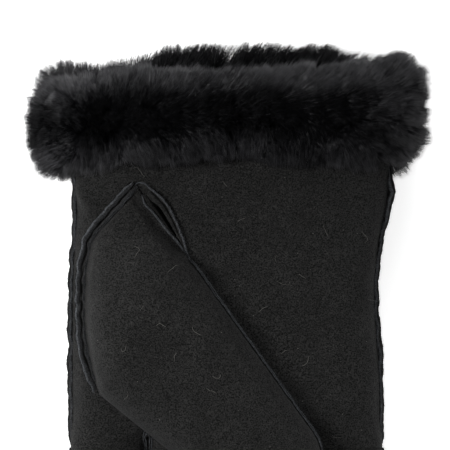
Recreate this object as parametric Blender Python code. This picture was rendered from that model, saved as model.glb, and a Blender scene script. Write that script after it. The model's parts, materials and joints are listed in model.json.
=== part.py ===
"""A right-hand shearling glove with a turned-out fur cuff, lying on its back.

Frame: +Z is up and is the palm side, +Y runs towards the cuff, -Y along the fingers, -X is the
thumb side. The origin is under the middle of the glove, on the surface it lies on.
Lengths below are millimetres; MM turns them into metres where a mesh is made.
"""

import math

import bmesh
import bpy
import numpy as np
from mathutils import Vector

MM = 0.001

# --- driving dimensions -----------------------------------------------------------------------

LENGTH = 236.0  # cuff's upper edge to the middle finger's tip
CUFF_SPREAD = 77.0  # half width over the cuff's fur

LEATHER = 1.2  # suede thickness
GAP = 0.3  # clearance between touching pieces
PILE_GAP = 1.2  # clearance between a leather's inner face and its wool
PILE = 3.2  # wool thickness in hand and fingers
THUMB_PILE = 2.0
SEAM_GAP = 0.7  # half the open space between two seamed edges, which the thread fills
THREAD = 0.35  # thread radius

PALM_POWER = 3.2  # superellipse powers: how boxy each section is
FINGER_POWER = 2.6
THUMB_POWER = 2.4

HAND_HALF_WIDTH = 59.3
HAND_HALF_HEIGHT = 11.5
CUFF_CENTRE = 18.5  # height of the wrist's centre, lifted by the fur under it
CUFF_HALF_HEIGHT = 9.5
WRIST_START = 36.0
WRIST_END = 75.0
MOUTH = 108.0  # the leather's upper edge

FINGER_SPACING = 30.0
FINGER_HALF_WIDTH = 14.3
FINGER_TIP_HALF_WIDTH = 13.3
FINGER_HALF_HEIGHT = 10.5
FINGER_BLEND_START = -12.0  # the palm starts to divide into fingers here
CROTCH = -30.0
FINGER_HINGE = -62.5
FINGER_TIPS = {"index": -110.0, "middle": -LENGTH / 2, "ring": -112.0, "little": -96.0}
FINGERS = tuple(FINGER_TIPS)
UNDERSIDE_FULLNESS = 1.16  # the underside is this much deeper, then flattened by the floor

FOURCHETTE_ANGLE = math.radians(25)
FOURCHETTE_HALF_HEIGHT = 4.4
FOURCHETTE_OUTER = 14.2
FOURCHETTE_INNER = 13.1
FOURCHETTE_END = 16.0  # a finger's fourchette runs out this far before the tip

THUMB_CROTCH = (-48.3, -13.8)
THUMB_SLIT_END = (-14.5, 38.2)
THUMB_TIP_CENTRE = (16.0, -39.0)
THUMB_TIP_RADIUS = 20.5
THUMB_CENTRE = 31.2
THUMB_HALF_HEIGHT = 7.6
THUMB_LEAF_LIFT = 14.8
THUMB_OUTSEAM = ((-34.5, 66.0), (-44.3, 55.3), (-52.3, 45.1), (-55.2, 30.0), (-55.4, 14.0),
                 (-53.7, 0.7), THUMB_CROTCH)
THUMB_SLIT = ((-31.0, 66.0), (-25.7, 52.5), (-19.2, 44.8), THUMB_SLIT_END)
THUMB_HOLE_HEM = 4.0  # the leaf covers the opening's edge by this much

CUFF_FRONT_LOW = 75.0  # lower edge of the palm side's fur, at the middle
CUFF_FRONT_DROP = 6.0  # and how much lower it hangs at the sides
CUFF_FRONT_TOP = 112.0
CUFF_BACK_LOW = 70.0
CUFF_FUR_FACE = 13.0  # fur standing off the wrist's palm face, to 41 mm up
CUFF_BAND_GAP = 0.4

# --- small helpers ----------------------------------------------------------------------------


def smoothstep(value, start, end):
    t = min(max((value - start) / (end - start), 0.0), 1.0)
    return t * t * (3 - 2 * t)


def bump(value, centre, width):
    return math.exp(-(((value - centre) / width) ** 2))


def mix(a, b, t):
    return a + (b - a) * t


def power_point(angle, power):
    """A unit superellipse's point at an angle."""
    c, s = math.cos(angle), math.sin(angle)
    return (math.copysign(abs(c) ** (2 / power), c), math.copysign(abs(s) ** (2 / power), s))


def power_height(u, power):
    """A unit superellipse's height over a place u between -1 and 1."""
    return max(1 - min(abs(u), 1.0) ** power, 0.0) ** (1 / power)


def smooth_path(points, count):
    """Evenly spaced points on a Catmull-Rom curve through the given ones."""
    pts = [np.array(p, float) for p in points]
    pts = [2 * pts[0] - pts[1]] + pts + [2 * pts[-1] - pts[-2]]
    fine = []
    for a, b, c, d in zip(pts, pts[1:], pts[2:], pts[3:]):
        for t in np.linspace(0, 1, 16, endpoint=False):
            fine.append(0.5 * (2 * b + (c - a) * t + (2 * a - 5 * b + 4 * c - d) * t * t
                               + (3 * b - 3 * c + d - a) * t ** 3))
    fine = np.array(fine + [pts[-2]])
    along = np.concatenate([[0], np.cumsum(np.linalg.norm(np.diff(fine, axis=0), axis=1))])
    wanted = np.linspace(0, along[-1], count)
    return np.stack([np.interp(wanted, along, fine[:, k]) for k in range(fine.shape[1])], axis=1)


def make_material(name, colour, roughness):
    material = bpy.data.materials.new(name)
    material.use_nodes = True
    shader = material.node_tree.nodes["Principled BSDF"]
    shader.inputs["Base Color"].default_value = (*colour, 1.0)
    shader.inputs["Roughness"].default_value = roughness
    shader.inputs["Metallic"].default_value = 0.0
    return material


FINISHES = {
    "suede": ((0.016, 0.016, 0.015), 0.95),
    "pile": ((0.010, 0.010, 0.011), 0.90),
    "fur": ((0.012, 0.012, 0.014), 0.70),
    "thread": ((0.006, 0.006, 0.006), 0.80),
}


def make_object(name, bm, finish, pivot=None):
    """A named, smooth-shaded object from a bmesh in millimetres; pivot is its parent empty."""
    bmesh.ops.recalc_face_normals(bm, faces=bm.faces)
    origin = pivot.location if pivot else Vector((0, 0, 0))
    for vert in bm.verts:
        vert.co = vert.co * MM - origin
    mesh = bpy.data.meshes.new(name)
    bm.to_mesh(mesh)
    bm.free()
    mesh.materials.append(make_material(name, *FINISHES[finish]))
    mesh.shade_smooth()
    mesh.set_sharp_from_angle(angle=math.radians(40))
    obj = bpy.data.objects.new(name, mesh)
    bpy.context.collection.objects.link(obj)
    obj.parent = pivot
    return obj


def make_pivot(name, place):
    pivot = bpy.data.objects.new(name, None)
    pivot.empty_display_size = 0.02
    pivot.location = Vector(place) * MM
    bpy.context.collection.objects.link(pivot)
    return pivot


def sheet(name, outer, inner, finish, pivot=None, present=None, closed=False):
    """A closed body between two grids of points, rows by columns.

    present says which cells exist. closed joins the last column to the first and caps the last
    row, which makes a cup with its mouth at the first row.
    """
    rows, columns = len(outer), len(outer[0])
    bm = bmesh.new()
    faces = [[[bm.verts.new(p) for p in row] for row in grid] for grid in (outer, inner)]
    across = columns if closed else columns - 1
    cells = {(r, c) for r in range(rows - 1) for c in range(across)
             if present is None or present(r, c)}
    for r, c in sorted(cells):
        d = (c + 1) % columns
        corners = ((r, c), (r, d), (r + 1, d), (r + 1, c))
        for grid, turn in ((faces[0], 1), (faces[1], -1)):
            bm.faces.new([grid[i][j] for i, j in corners[::turn]])
        beyond = ((r - 1, c), (r, d if closed else c + 1), (r + 1, c),
                  (r, (c - 1) % columns if closed else c - 1))
        for k, neighbour in enumerate(beyond):
            if neighbour in cells or (closed and neighbour[0] == rows - 1):
                continue
            (i, j), (m, n) = corners[k], corners[(k + 1) % 4]
            bm.faces.new((faces[0][i][j], faces[1][i][j], faces[1][m][n], faces[0][m][n]))
    if closed:
        bm.faces.new(faces[0][-1])
        bm.faces.new(faces[1][-1])
    loose = [v for v in bm.verts if not v.link_faces]
    bmesh.ops.delete(bm, geom=loose, context="VERTS")
    return make_object(name, bm, finish, pivot)


def ring_body(name, sections, finish, pivot=None):
    """A closed body skinned over a row of closed outlines, with flat ends."""
    bm = bmesh.new()
    loops = [[bm.verts.new(p) for p in section] for section in sections]
    for first, second in zip(loops, loops[1:]):
        for k in range(len(first)):
            n = (k + 1) % len(first)
            bm.faces.new((first[k], first[n], second[n], second[k]))
    bm.faces.new(loops[0])
    bm.faces.new(loops[-1])
    return make_object(name, bm, finish, pivot)


def thread_tube(name, path, pivot=None, sides=5):
    """A thread laid along a path of points."""
    path = [Vector(p) for p in path]
    up = Vector((0, 0, 1))
    sections = []
    for k, point in enumerate(path):
        along = (path[min(k + 1, len(path) - 1)] - path[max(k - 1, 0)]).normalized()
        side = along.cross(up).normalized()
        top = side.cross(along)
        turns = [2 * math.pi * n / sides for n in range(sides)]
        sections.append([point + THREAD * (math.cos(a) * side + math.sin(a) * top) for a in turns])
    return ring_body(name, sections, "thread", pivot)


def prism(name, outline, low, high, finish, pivot=None):
    bottom = [(x, y, low) for x, y in outline]
    top = [(x, y, high) for x, y in outline]
    return ring_body(name, [bottom, top], finish, pivot)


# --- the hand's shape -------------------------------------------------------------------------


def hand_half_width(y, side):
    """Half width at y, on the thumb side (side -1) or the little finger's side (+1)."""
    if side < 0:
        return HAND_HALF_WIDTH - 1.2 * bump(y, 56, 16)
    return HAND_HALF_WIDTH - 2.2 * bump(y, 22, 20) + 2.2 * smoothstep(y, 40, 66)


def hand_centre(y):
    return mix(HAND_HALF_HEIGHT, CUFF_CENTRE, smoothstep(y, WRIST_START, WRIST_END))


def hand_half_height(y):
    return mix(HAND_HALF_HEIGHT, CUFF_HALF_HEIGHT, smoothstep(y, WRIST_START, WRIST_END))


def finger_centre_x(finger):
    return FINGER_SPACING * (finger - 1.5)


def hand_columns(cells, angle):
    """Columns across the four fingers: (finger, superellipse place, is it the side seam).

    angle is where a finger's strip stops against its fourchette.
    """
    columns = []
    for finger in range(4):
        first = 0.0 if finger == 0 else angle
        last = 0.0 if finger == 3 else angle
        for k in range(cells + 1):
            place = power_point(mix(math.pi - first, last, k / cells), FINGER_POWER)
            seam = (finger == 0 and k == 0) or (finger == 3 and k == cells)
            columns.append((finger, place, seam))
    return columns


def hand_point(column, y, face, grow_side, grow_face):
    """A point of the hand's skin. face is +1 on the palm and -1 on the back.

    grow_side and grow_face move it outwards at the side edges and on the broad faces.
    """
    finger, (c, s), seam = column
    width = finger_centre_x(finger) + FINGER_HALF_WIDTH * c
    side = -1 if width < 0 else 1
    half_width = hand_half_width(y, side) + grow_side
    x_hand = width / HAND_HALF_WIDTH * half_width
    full = 1.0 if face > 0 else UNDERSIDE_FULLNESS
    centre = hand_centre(y)
    half = hand_half_height(y)
    z_hand = centre + face * (half * full + grow_face) * power_height(x_hand / half_width, PALM_POWER)
    x_finger = finger_centre_x(finger) + (FINGER_HALF_WIDTH + grow_side) * c
    z_finger = FINGER_HALF_HEIGHT + face * (FINGER_HALF_HEIGHT * full + grow_face) * abs(s)
    t = smoothstep(-y, -FINGER_BLEND_START, -CROTCH + 4)
    x, z = mix(x_hand, x_finger, t), mix(z_hand, z_finger, t)
    middle = mix(centre, FINGER_HALF_HEIGHT, t)
    if seam:
        return (x, y, middle + face * SEAM_GAP)
    if face < 0:
        z = max(z, centre - half - grow_face)
    return (x, y, z)


def hand_top(x, y):
    """Height of the palm's outer face."""
    half_width = hand_half_width(y, -1 if x < 0 else 1)
    return hand_centre(y) + hand_half_height(y) * power_height(x / half_width, PALM_POWER)


def hand_sheet(name, face, inset, thickness, cells, angle, stations, finish):
    """A palm or back skin with its four finger roots, slotted at the crotches."""
    columns = hand_columns(cells, angle)
    crotch_row = stations.index(CROTCH)

    def grid(depth):
        ys = [y + depth if k == crotch_row else y for k, y in enumerate(stations)]
        return [[hand_point(column, y, face, -depth, -depth) for column in columns] for y in ys]

    def present(row, cell):
        slot = (cell + 1) % (cells + 1) == 0
        return not slot or row < crotch_row

    return sheet(name, grid(inset), grid(inset + thickness), finish, present=present)


# --- the thumb's shape ------------------------------------------------------------------------

CROTCH_END = np.array(THUMB_CROTCH)
SLIT_END = np.array(THUMB_SLIT_END)
TIP_CENTRE = np.array(THUMB_TIP_CENTRE)
HINGE_MIDDLE = (CROTCH_END + SLIT_END) / 2
HINGE_AXIS = (SLIT_END - CROTCH_END) / np.linalg.norm(SLIT_END - CROTCH_END)
HINGE_NORMAL = np.array((HINGE_AXIS[1], -HINGE_AXIS[0]))
THUMB_AXIS = (TIP_CENTRE - HINGE_MIDDLE) / np.linalg.norm(TIP_CENTRE - HINGE_MIDDLE)
THUMB_ACROSS = np.array((-THUMB_AXIS[1], THUMB_AXIS[0]))
THUMB_STRAIGHT = (0.0, 0.25, 0.5, 0.75)
TIP_ANGLES = tuple(math.radians(a) for a in (0, 30, 55, 74, 87))


def thumb_stations(inset):
    """Middle, half vector across and height scale of each section from the hinge to the tip."""
    radius = THUMB_TIP_RADIUS - inset
    stations = []
    for t in THUMB_STRAIGHT:
        middle = mix(HINGE_MIDDLE, TIP_CENTRE, t)
        half = mix((SLIT_END - CROTCH_END) / 2, THUMB_ACROSS * THUMB_TIP_RADIUS, t)
        half = half * (1 - inset / np.linalg.norm(half))
        if t == 0.0:
            middle = middle + HINGE_NORMAL * GAP
        stations.append((middle, half, 1.0))
    for angle in TIP_ANGLES:
        middle = TIP_CENTRE + THUMB_AXIS * radius * math.sin(angle)
        stations.append((middle, THUMB_ACROSS * radius * math.cos(angle), math.cos(angle) ** 0.7))
    return stations


def thumb_grid(inset, angles):
    grid = []
    for middle, half, scale in thumb_stations(inset):
        row = []
        for angle in angles:
            c, s = power_point(angle, THUMB_POWER)
            height = max((THUMB_HALF_HEIGHT - inset) * scale * abs(s), SEAM_GAP)
            row.append((*(middle + half * c), THUMB_CENTRE + math.copysign(height, s)))
        grid.append(row)
    return grid


def leaf_row(t, left, right):
    """One section of the thumb's base leaf: its middle and half vector across."""
    a = np.array([np.interp(t, np.linspace(0, 1, len(left)), left[:, k]) for k in range(2)])
    b = np.array([np.interp(t, np.linspace(0, 1, len(right)), right[:, k]) for k in range(2)])
    return (a + b) / 2 - HINGE_NORMAL * GAP * t, (b - a) / 2


def leaf_lift(t, u):
    return THUMB_LEAF_LIFT * (0.06 + 0.94 * smoothstep(t, -0.1, 1.0)) * power_height(u, THUMB_POWER)


# --- the hand's pieces ------------------------------------------------------------------------

SKIN_STATIONS = [MOUTH, 92.0, CUFF_FRONT_LOW, 65.0, 55.0, 45.0, 33.0, 16.0, 0.0, -12.0, -21.0,
                 CROTCH, -40.0, -51.0, FINGER_HINGE + GAP]
SKIN_CELLS = 5
LEAF_STATIONS = tuple(np.linspace(0, 1, 8))
LEAF_PLACES = tuple(math.sin(math.radians(a)) for a in np.linspace(-90, 90, 9))
PILE_ANGLE = math.radians(3)


def make_thumb_hole(left, right):
    """A cutter for the thumb's opening, a hem's width inside the leaf's outline."""
    near, far = [], []
    for t in np.linspace(0.3, 1.0, 8):
        middle, half = leaf_row(t, left, right)
        reach = half * (1 - THUMB_HOLE_HEM / np.linalg.norm(half))
        near.append(middle - reach)
        far.append(middle + reach)
    cutter = prism("thumb_hole_cutter", near + far[::-1], 13.0, 32.0, "suede")
    cutter.hide_render = True
    cutter.display_type = "WIRE"
    return cutter


def cut(obj, cutter):
    modifier = obj.modifiers.new("thumb_hole", "BOOLEAN")
    modifier.operation = "DIFFERENCE"
    modifier.solver = "EXACT"
    modifier.object = cutter


def make_hand_skins(cutter):
    palm = hand_sheet("palm_panel", 1, 0, LEATHER, SKIN_CELLS, FOURCHETTE_ANGLE, SKIN_STATIONS,
                      "suede")
    hand_sheet("back_panel", -1, 0, LEATHER, SKIN_CELLS, FOURCHETTE_ANGLE, SKIN_STATIONS, "suede")
    inset = LEATHER + PILE_GAP
    palm_pile = hand_sheet("palm_pile", 1, inset, PILE, SKIN_CELLS, PILE_ANGLE, SKIN_STATIONS,
                           "pile")
    hand_sheet("back_pile", -1, inset, PILE, SKIN_CELLS, PILE_ANGLE, SKIN_STATIONS, "pile")
    cut(palm, cutter)
    cut(palm_pile, cutter)


def make_thumb_leaf(left, right):
    """The set-in base of the thumb, domed over the heel of the thumb, and its pile."""
    outer, inner = [], []
    for t in LEAF_STATIONS:
        middle, half = leaf_row(t, left, right)
        shrink = 1 - LEATHER / max(np.linalg.norm(half), 2 * LEATHER)
        outer_row, inner_row = [], []
        for u in LEAF_PLACES:
            x, y = middle + half * u
            outer_row.append((x, y, hand_top(x, y) + GAP + LEATHER + leaf_lift(t, u)))
            x, y = middle + half * u * shrink
            inner_row.append((x, y, hand_top(x, y) + GAP + leaf_lift(t, u)))
        outer.append(outer_row)
        inner.append(inner_row)
    sheet("thumb_base_leaf", outer, inner, "suede")

    outer, inner = [], []
    for t in LEAF_STATIONS[3:]:
        middle, half = leaf_row(t, left, right)
        shrink = 1 - (THUMB_HOLE_HEM + 4 * GAP) / np.linalg.norm(half)
        top_row, under_row = [], []
        for u in LEAF_PLACES:
            x, y = middle + half * u * shrink
            top = hand_top(x, y) + leaf_lift(t, u * shrink) - PILE_GAP
            top_row.append((x, y, top))
            under_row.append((x, y, top - THUMB_PILE))
        outer.append(top_row)
        inner.append(under_row)
    sheet("thumb_base_pile", outer, inner, "pile")


def make_root_fourchettes():
    """A strip bent round each finger crotch, closing the sides of the two finger roots."""
    for finger in range(3):
        name = f"fourchette_{FINGERS[finger]}_{FINGERS[finger + 1]}"
        left = finger_centre_x(finger)
        right = finger_centre_x(finger + 1)
        end = FINGER_HINGE + GAP
        back = CROTCH - GAP
        web = back - LEATHER
        outline = [(left + FOURCHETTE_INNER, end), (left + FOURCHETTE_INNER, back),
                   (right - FOURCHETTE_INNER, back), (right - FOURCHETTE_INNER, end),
                   (right - FOURCHETTE_OUTER, end), (right - FOURCHETTE_OUTER, web),
                   (left + FOURCHETTE_OUTER, web), (left + FOURCHETTE_OUTER, end)]
        prism(name, outline, FINGER_HALF_HEIGHT - FOURCHETTE_HALF_HEIGHT,
              FINGER_HALF_HEIGHT + FOURCHETTE_HALF_HEIGHT, "suede")


def make_hand_threads(left, right):
    for name, side in (("hand_thread_thumb_side", -1), ("hand_thread_little_side", 1)):
        path = []
        for y in np.linspace(MOUTH - 2, FINGER_HINGE + 1, 22):
            t = smoothstep(-y, -FINGER_BLEND_START, -CROTCH + 4)
            x = mix(hand_half_width(y, side), HAND_HALF_WIDTH, t) - LEATHER / 2
            path.append((side * x, y, mix(hand_centre(y), FINGER_HALF_HEIGHT, t)))
        thread_tube(name, path)

    outline = np.concatenate([left[::-1], right])
    path = []
    for k, (x, y) in enumerate(outline):
        before, after = outline[max(k - 1, 0)], outline[min(k + 1, len(outline) - 1)]
        along = (after - before) / np.linalg.norm(after - before)
        x, y = np.array((x, y)) + np.array((-along[1], along[0])) * (THREAD + GAP)
        path.append((x, y, hand_top(x, y) + GAP + THREAD))
    thread_tube("thumb_opening_thread", path)


# --- the cuff ---------------------------------------------------------------------------------


def make_cuff_band(name, face):
    """The turned-out leather that carries the fur, just outside the wrist."""
    columns = hand_columns(SKIN_CELLS, FOURCHETTE_ANGLE)

    def grid(grow):
        return [[hand_point(column, y, face, grow, grow) for column in columns]
                for y in SKIN_STATIONS if y >= CUFF_FRONT_LOW]

    sheet(name, grid(CUFF_BAND_GAP + LEATHER), grid(CUFF_BAND_GAP), "suede")


def make_cuff_fur(name, face, low, drop, top, face_depth):
    """One half of the fur, hooked over the wrist's upper edge.

    The section's points are (y, share of the full depth) outside the band, then the lip that
    turns over the leather and the wool into the mouth.
    """
    base = CUFF_BAND_GAP + LEATHER + GAP
    lip = -(LEATHER + GAP + PILE)
    sections = []
    for column in hand_columns(SKIN_CELLS, FOURCHETTE_ANGLE):
        finger, (c, _), _ = column
        u = (finger_centre_x(finger) + FINGER_HALF_WIDTH * c) / HAND_HALF_WIDTH
        edge = low - drop * u * u
        side_depth = CUFF_SPREAD - hand_half_width(MOUTH, -1 if u < 0 else 1)
        profile = [(edge, 0.0), (edge - 1.5, 0.35), (edge + 2.0, 0.8), (edge + 11.0, 1.0),
                   (top - 12.0, 1.0), (top - 4.5, 0.82), (top, 0.4), (top, 0.0)]
        section = []
        for y, share in profile:
            section.append(hand_point(column, y, face, mix(base, side_depth, share),
                                      mix(base, face_depth, share)))
        section.append(hand_point(column, top - 1.0, face, lip, lip))
        section.append(hand_point(column, MOUTH + GAP, face, lip, lip))
        for y in (MOUTH + GAP, CUFF_FRONT_LOW + GAP):
            section.append(hand_point(column, y, face, base, base))
        sections.append(section)
    ring_body(name, sections, "fur")


def make_cuff():
    back_depth = CUFF_CENTRE - CUFF_HALF_HEIGHT
    make_cuff_band("cuff_band_palm", 1)
    make_cuff_band("cuff_band_back", -1)
    make_cuff_fur("cuff_fur_palm", 1, CUFF_FRONT_LOW, CUFF_FRONT_DROP, CUFF_FRONT_TOP,
                  CUFF_FUR_FACE)
    make_cuff_fur("cuff_fur_back", -1, CUFF_BACK_LOW, 0.0, LENGTH / 2, back_depth)


# --- the fingers ------------------------------------------------------------------------------


def finger_stations(tip, inset):
    """(y, half width, height scale) of each section from the hinge to the tip."""
    radius = FINGER_TIP_HALF_WIDTH - inset
    centre = tip + FINGER_TIP_HALF_WIDTH * math.sin(TIP_ANGLES[-1])
    start = FINGER_HINGE - GAP
    stations = []
    for t in (0.0, 0.33, 0.67):
        stations.append((mix(start, centre, t), mix(FINGER_HALF_WIDTH - inset, radius, t), 1.0))
    for angle in TIP_ANGLES:
        scale = math.cos(angle)
        stations.append((centre - radius * math.sin(angle), radius * scale, scale ** 0.7))
    return stations


def finger_row(centre_x, station, angles, inset):
    y, half_width, scale = station
    row = []
    for angle in angles:
        c, s = power_point(angle, FINGER_POWER)
        full = 1.0 if s > 0 else UNDERSIDE_FULLNESS
        height = max((FINGER_HALF_HEIGHT * full - inset) * scale * abs(s), SEAM_GAP)
        z = FINGER_HALF_HEIGHT + math.copysign(height, s)
        row.append((centre_x + half_width * c, y, max(z, inset)))
    return row


def strip_angle(y, tip, inner_side):
    """Where a strip stops on a side: at the fourchette, which runs out towards the tip."""
    closed = math.radians(4)
    if not inner_side:
        return closed
    return mix(closed, FOURCHETTE_ANGLE, smoothstep(y, tip + FOURCHETTE_END - 8, tip + 26))


def make_finger(finger, pivot):
    name = FINGERS[finger]
    tip = FINGER_TIPS[name]
    centre_x = finger_centre_x(finger)
    inner_left, inner_right = finger > 0, finger < 3
    outer_stations = finger_stations(tip, 0)
    inner_stations = finger_stations(tip, LEATHER)

    for face, part in ((1, "front"), (-1, "back")):
        outer, inner = [], []
        for station_out, station_in in zip(outer_stations, inner_stations):
            first = strip_angle(station_out[0], tip, inner_left)
            last = strip_angle(station_out[0], tip, inner_right)
            angles = [face * mix(math.pi - first, last, k / SKIN_CELLS)
                      for k in range(SKIN_CELLS + 1)]
            outer.append(finger_row(centre_x, station_out, angles, 0))
            inner.append(finger_row(centre_x, station_in, angles, LEATHER))
        sheet(f"{name}_{part}", outer, inner, "suede", pivot)

    ring = [2 * math.pi * (k + 0.5) / 10 for k in range(10)]
    outer, inner = [], []
    skin, core = LEATHER + PILE_GAP, LEATHER + PILE_GAP + PILE
    for station in finger_stations(tip, skin)[:-1]:
        outer.append(finger_row(centre_x, station, ring, skin))
    for station in finger_stations(tip, core)[:-1]:
        inner.append(finger_row(centre_x, station, ring, core))
    sheet(f"{name}_pile", outer, inner, "pile", pivot, closed=True)

    for present, side, label in ((inner_left, -1, "thumb_side"), (inner_right, 1, "little_side")):
        if present:
            make_finger_fourchette(f"{name}_fourchette_{label}", centre_x, side, tip, pivot)
    if finger in (0, 3):
        side = -1 if finger == 0 else 1
        path = []
        for y, half_width, _ in outer_stations[:4]:
            path.append((centre_x + side * (half_width - LEATHER / 2), y - GAP, FINGER_HALF_HEIGHT))
        thread_tube(f"{name}_seam_thread", path, pivot)


def make_finger_fourchette(name, centre_x, side, tip, pivot):
    """The side wall between a finger's front and back strips, tapered to its end."""
    start = FINGER_HINGE - GAP
    end = tip + FOURCHETTE_END
    sections = []
    for t in (0.0, 0.5, 1.0):
        y = mix(start, end, t)
        taper = FINGER_HALF_WIDTH - mix(0.0, FINGER_HALF_WIDTH - FINGER_TIP_HALF_WIDTH, t)
        outer = taper - (FINGER_HALF_WIDTH - FOURCHETTE_OUTER)
        inner = taper - (FINGER_HALF_WIDTH - FOURCHETTE_INNER)
        half = FOURCHETTE_HALF_HEIGHT * mix(1.0, 0.12, smoothstep(t, 0.45, 1.0))
        low, high = FINGER_HALF_HEIGHT - half, FINGER_HALF_HEIGHT + half
        near, far = centre_x + side * inner, centre_x + side * outer
        sections.append([(near, y, low), (far, y, low), (far, y, high), (near, y, high)])
    ring_body(name, sections, "suede", pivot)


# --- the thumb --------------------------------------------------------------------------------


def make_thumb(pivot):
    closed = math.radians(4)
    for face, part in ((1, "front"), (-1, "back")):
        angles = [face * mix(math.pi - closed, closed, k / 8) for k in range(9)]
        sheet(f"thumb_{part}", thumb_grid(0, angles), thumb_grid(LEATHER, angles), "suede", pivot)
    ring = [2 * math.pi * (k + 0.5) / 12 for k in range(12)]
    inset = LEATHER + PILE_GAP
    sheet("thumb_pile", thumb_grid(inset, ring)[:-1], thumb_grid(inset + THUMB_PILE, ring)[:-1],
          "pile", pivot, closed=True)

    path = []
    for end in (-1, 1):
        stations = thumb_stations(LEATHER / 2)[:-1]
        side = [(*(middle + end * half), THUMB_CENTRE) for middle, half, _ in stations]
        path += side if end < 0 else side[::-1]
    thread_tube("thumb_seam_thread", path, pivot)


# --- build ------------------------------------------------------------------------------------


def main():
    for obj in list(bpy.data.objects):
        bpy.data.objects.remove(obj, do_unlink=True)

    left = smooth_path(THUMB_OUTSEAM, 17)
    right = smooth_path(THUMB_SLIT, 9)
    make_hand_skins(make_thumb_hole(left, right))
    make_thumb_leaf(left, right)
    make_root_fourchettes()
    make_hand_threads(left, right)
    make_cuff()

    for finger, name in enumerate(FINGERS):
        place = (finger_centre_x(finger), FINGER_HINGE, 2 * FINGER_HALF_HEIGHT)
        make_finger(finger, make_pivot(f"{name}_hinge", place))
    make_thumb(make_pivot("thumb_hinge", (*HINGE_MIDDLE, THUMB_CENTRE + THUMB_HALF_HEIGHT)))


main()
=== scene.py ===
import json
from functools import partial
from math import ceil, cos, pi, radians, sin, sqrt

import bpy
import numpy as np
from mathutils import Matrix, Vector, kdtree


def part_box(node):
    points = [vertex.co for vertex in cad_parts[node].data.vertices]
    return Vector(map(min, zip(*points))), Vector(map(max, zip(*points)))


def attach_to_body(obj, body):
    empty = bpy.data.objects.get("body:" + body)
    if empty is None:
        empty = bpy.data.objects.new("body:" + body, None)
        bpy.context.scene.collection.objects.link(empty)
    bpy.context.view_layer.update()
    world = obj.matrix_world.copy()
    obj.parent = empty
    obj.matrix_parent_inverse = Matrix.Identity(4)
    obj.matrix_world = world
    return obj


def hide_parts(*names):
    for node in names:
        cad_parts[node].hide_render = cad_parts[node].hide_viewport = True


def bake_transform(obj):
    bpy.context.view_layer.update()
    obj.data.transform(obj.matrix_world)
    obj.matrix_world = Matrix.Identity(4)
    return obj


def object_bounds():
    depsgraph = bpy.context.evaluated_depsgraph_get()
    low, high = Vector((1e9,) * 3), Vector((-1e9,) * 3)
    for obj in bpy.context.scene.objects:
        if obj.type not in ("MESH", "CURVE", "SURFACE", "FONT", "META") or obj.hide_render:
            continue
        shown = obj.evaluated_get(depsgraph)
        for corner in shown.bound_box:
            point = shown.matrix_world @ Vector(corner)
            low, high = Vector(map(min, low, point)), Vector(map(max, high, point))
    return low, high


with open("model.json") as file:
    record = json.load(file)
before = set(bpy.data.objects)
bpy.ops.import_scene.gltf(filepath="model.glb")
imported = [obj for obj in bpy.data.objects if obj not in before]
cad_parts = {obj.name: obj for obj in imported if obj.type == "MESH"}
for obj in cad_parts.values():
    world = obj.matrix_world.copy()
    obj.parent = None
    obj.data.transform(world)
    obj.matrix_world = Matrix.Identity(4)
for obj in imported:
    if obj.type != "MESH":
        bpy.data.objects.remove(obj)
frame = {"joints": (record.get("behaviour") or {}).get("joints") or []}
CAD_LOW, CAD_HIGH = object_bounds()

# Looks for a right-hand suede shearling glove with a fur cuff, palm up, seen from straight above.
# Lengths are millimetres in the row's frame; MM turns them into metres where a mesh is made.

MM = 0.001

# --- landmarks, read from the frame

JOINTS = {joint["name"]: joint for joint in frame["joints"]}


def box_mm(node):
    low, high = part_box(node)
    return np.array(low) / MM, np.array(high) / MM


def joint_place(name):
    return np.array(JOINTS[name]["pos_m"]) / MM


FINGERS = ("index", "middle", "ring", "little")
FINGER_X = [joint_place(f"{name}_bend")[0] for name in FINGERS]
HINGE_Y = joint_place("index_bend")[1]
FINGER_HALF_HEIGHT = joint_place("index_bend")[2] / 2
FINGER_TIP_Y = [box_mm(f"{name}_pile")[0][1] - 2.0 for name in FINGERS]
FINGER_TIP_Y[1] = CAD_LOW.y / MM
CROTCH_Y = box_mm("fourchette_index_middle")[1][1] + 0.3
HALF_HEIGHT = (box_mm("thumb_back")[0][2] - 0.6) / 2
PANEL_LOW, PANEL_HIGH = box_mm("palm_panel")
HALF_WIDTH = -PANEL_LOW[0]
MOUTH_Y = PANEL_HIGH[1]
BAND_LOW, BAND_HIGH = box_mm("cuff_band_palm")
BAND_TOP, BAND_BOTTOM = BAND_HIGH[2], box_mm("cuff_band_back")[0][2]
BAND_SKIN = 1.6  # band leather and its clearance, outside the wrist
CUFF_CENTRE = (BAND_TOP + BAND_BOTTOM) / 2
CUFF_HALF_HEIGHT = (BAND_TOP - BAND_BOTTOM) / 2 - BAND_SKIN
WRIST_END = BAND_LOW[1]
WRIST_START = WRIST_END - 39.0
FUR_TOP = box_mm("cuff_fur_palm")[1][1]
FUR_BACK_LOW, FUR_BACK_HIGH = box_mm("cuff_fur_back")

FINGER_GAP = 0.15  # daylight between neighbouring fingers
FINGER_HALF_WIDTH = (FINGER_X[1] - FINGER_X[0] - FINGER_GAP) / 2
TIP_HALF_WIDTH = FINGER_HALF_WIDTH - 1.0
FINGER_SPLIT_Y = CROTCH_Y - 5.0  # hand pieces end and finger pieces begin here

HIDE = 1.2  # leather thickness
SHEARLING = 4.2  # leather with its wool
PALM_POWER = 3.2
FINGER_POWER = 2.6
UNDER_FULLNESS = 1.16
FOURCHETTE_ANGLE = radians(25)
UP = np.array((0.0, 0.0, 1.0))

# --- helpers


def ease(value, start, end):
    """0 up to start, 1 from end on, and smooth between them."""
    t = np.clip((np.asarray(value, float) - start) / (end - start), 0.0, 1.0)
    return t * t * (3 - 2 * t)


def bump(value, centre, width):
    return np.exp(-(((np.asarray(value, float) - centre) / width) ** 2))


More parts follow.
